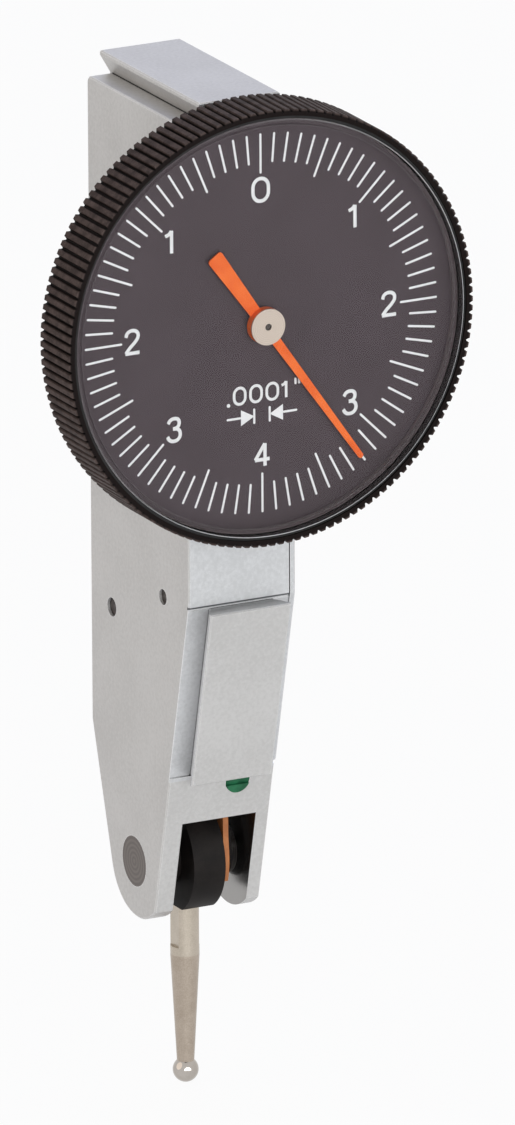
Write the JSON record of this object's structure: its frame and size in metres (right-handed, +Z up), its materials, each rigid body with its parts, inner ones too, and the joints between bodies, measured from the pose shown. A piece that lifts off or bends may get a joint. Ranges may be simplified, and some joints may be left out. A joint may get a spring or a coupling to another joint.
{
  "type": "dial test indicator",
  "caption": "Lever-type dial test indicator with dovetailed body, round dial with rotating bezel, and a swivelling ball-tipped contact point.",
  "frame": {"origin": "centre of the top dovetail's flat land", "axes": "+Z up out of the top dovetail, dial faces -Y, +X to the right of the dial"},
  "size_m": [0.038, 0.0263, 0.0904],
  "materials": {
    "body_chrome": "satin chrome plated",
    "plug_steel": "turned grey steel",
    "pin_steel": "ground",
    "screw_steel": "turned",
    "lacquer_green": "green sealing lacquer",
    "black_bezel": "matte black anodised",
    "crystal_clear": "clear",
    "gasket_rubber": "matte",
    "dial_charcoal": "matte charcoal",
    "hand_orange": "bright orange",
    "hub_silver": "turned",
    "black_hub": "blackened",
    "copper_leaf": "spring bronze",
    "stem_steel": "satin",
    "ball_polish": "polished",
    "movement_brass": "machined",
    "jewel_red": "polished synthetic ruby",
    "spring_steel": "blued",
    "base_grey": "dark anodised"
  },
  "bodies": {
    "housing": {"housing": "body_chrome", "side_cover": "body_chrome", "cover_screws": "screw_steel", "sealing_screw": "lacquer_green", "pivot_bearings": "plug_steel", "pivot_pin": "pin_steel", "movement_bridge": "movement_brass", "bridge_screws": "screw_steel", "locating_pin": "plug_steel", "pivot_jewels": "jewel_red", "centre_bridge": "movement_brass", "hairspring": "spring_steel", "hairspring_stud": "movement_brass", "centre_bush": "movement_brass", "dial_base": "base_grey", "base_screws": "screw_steel", "retaining_wire": "spring_steel"},
    "bezel": {"bezel": "black_bezel", "crystal": "crystal_clear", "crystal_gasket": "gasket_rubber", "dial": "dial_charcoal"},
    "hand": {"pointer": "hand_orange", "pointer_hub": "hub_silver", "centre_pinion": "pin_steel", "hairspring_collet": "movement_brass"},
    "crown": {"crown_wheel": "movement_brass", "crown_arbor": "pin_steel"},
    "sector": {"sector": "movement_brass", "sector_arbor": "plug_steel"},
    "lever": {"lever": "black_hub", "drive_pin": "pin_steel", "friction_leaf": "copper_leaf", "leaf_rivet": "pin_steel"},
    "contact": {"contact_hub": "black_hub", "contact_stem": "stem_steel", "contact_ball": "ball_polish"}
  },
  "joints": [
    {"name": "bezel_turn", "type": "hinge", "parent": "housing", "child": "bezel", "pos_m": [0, -0.012, -0.01875], "axis": [0, 1, 0], "continuous": true},
    {"name": "lever_tilt", "type": "hinge", "parent": "housing", "child": "lever", "pos_m": [0, 0.00142, -0.0696], "axis": [1, 0, 0], "range_deg": [0, 0.66], "stiffness_Nm_per_rad": 0.05, "springref_deg": -3.44},
    {"name": "point_swivel", "type": "hinge", "parent": "lever", "child": "contact", "pos_m": [0, 0.00142, -0.0696], "axis": [1, 0, 0], "range_deg": [-105, 105]},
    {"name": "sector_swing", "type": "hinge", "parent": "housing", "child": "sector", "pos_m": [0, 0.0053, -0.04803], "axis": [1, 0, 0], "range_deg": [-3.7, 0]},
    {"name": "crown_spin", "type": "hinge", "parent": "housing", "child": "crown", "pos_m": [0, 0, -0.01875], "axis": [1, 0, 0], "range_deg": [0, 104]},
    {"name": "hand_spin", "type": "hinge", "parent": "housing", "child": "hand", "pos_m": [0, -0.012, -0.01875], "axis": [0, 1, 0], "range_deg": [0, 400]}
  ],
  "couplings": [
    {"joint": "sector_swing", "follows": "lever_tilt", "ratio": -5.4006},
    {"joint": "crown_spin", "follows": "lever_tilt", "ratio": 155.29},
    {"joint": "hand_spin", "follows": "lever_tilt", "ratio": 598.96}
  ]
}
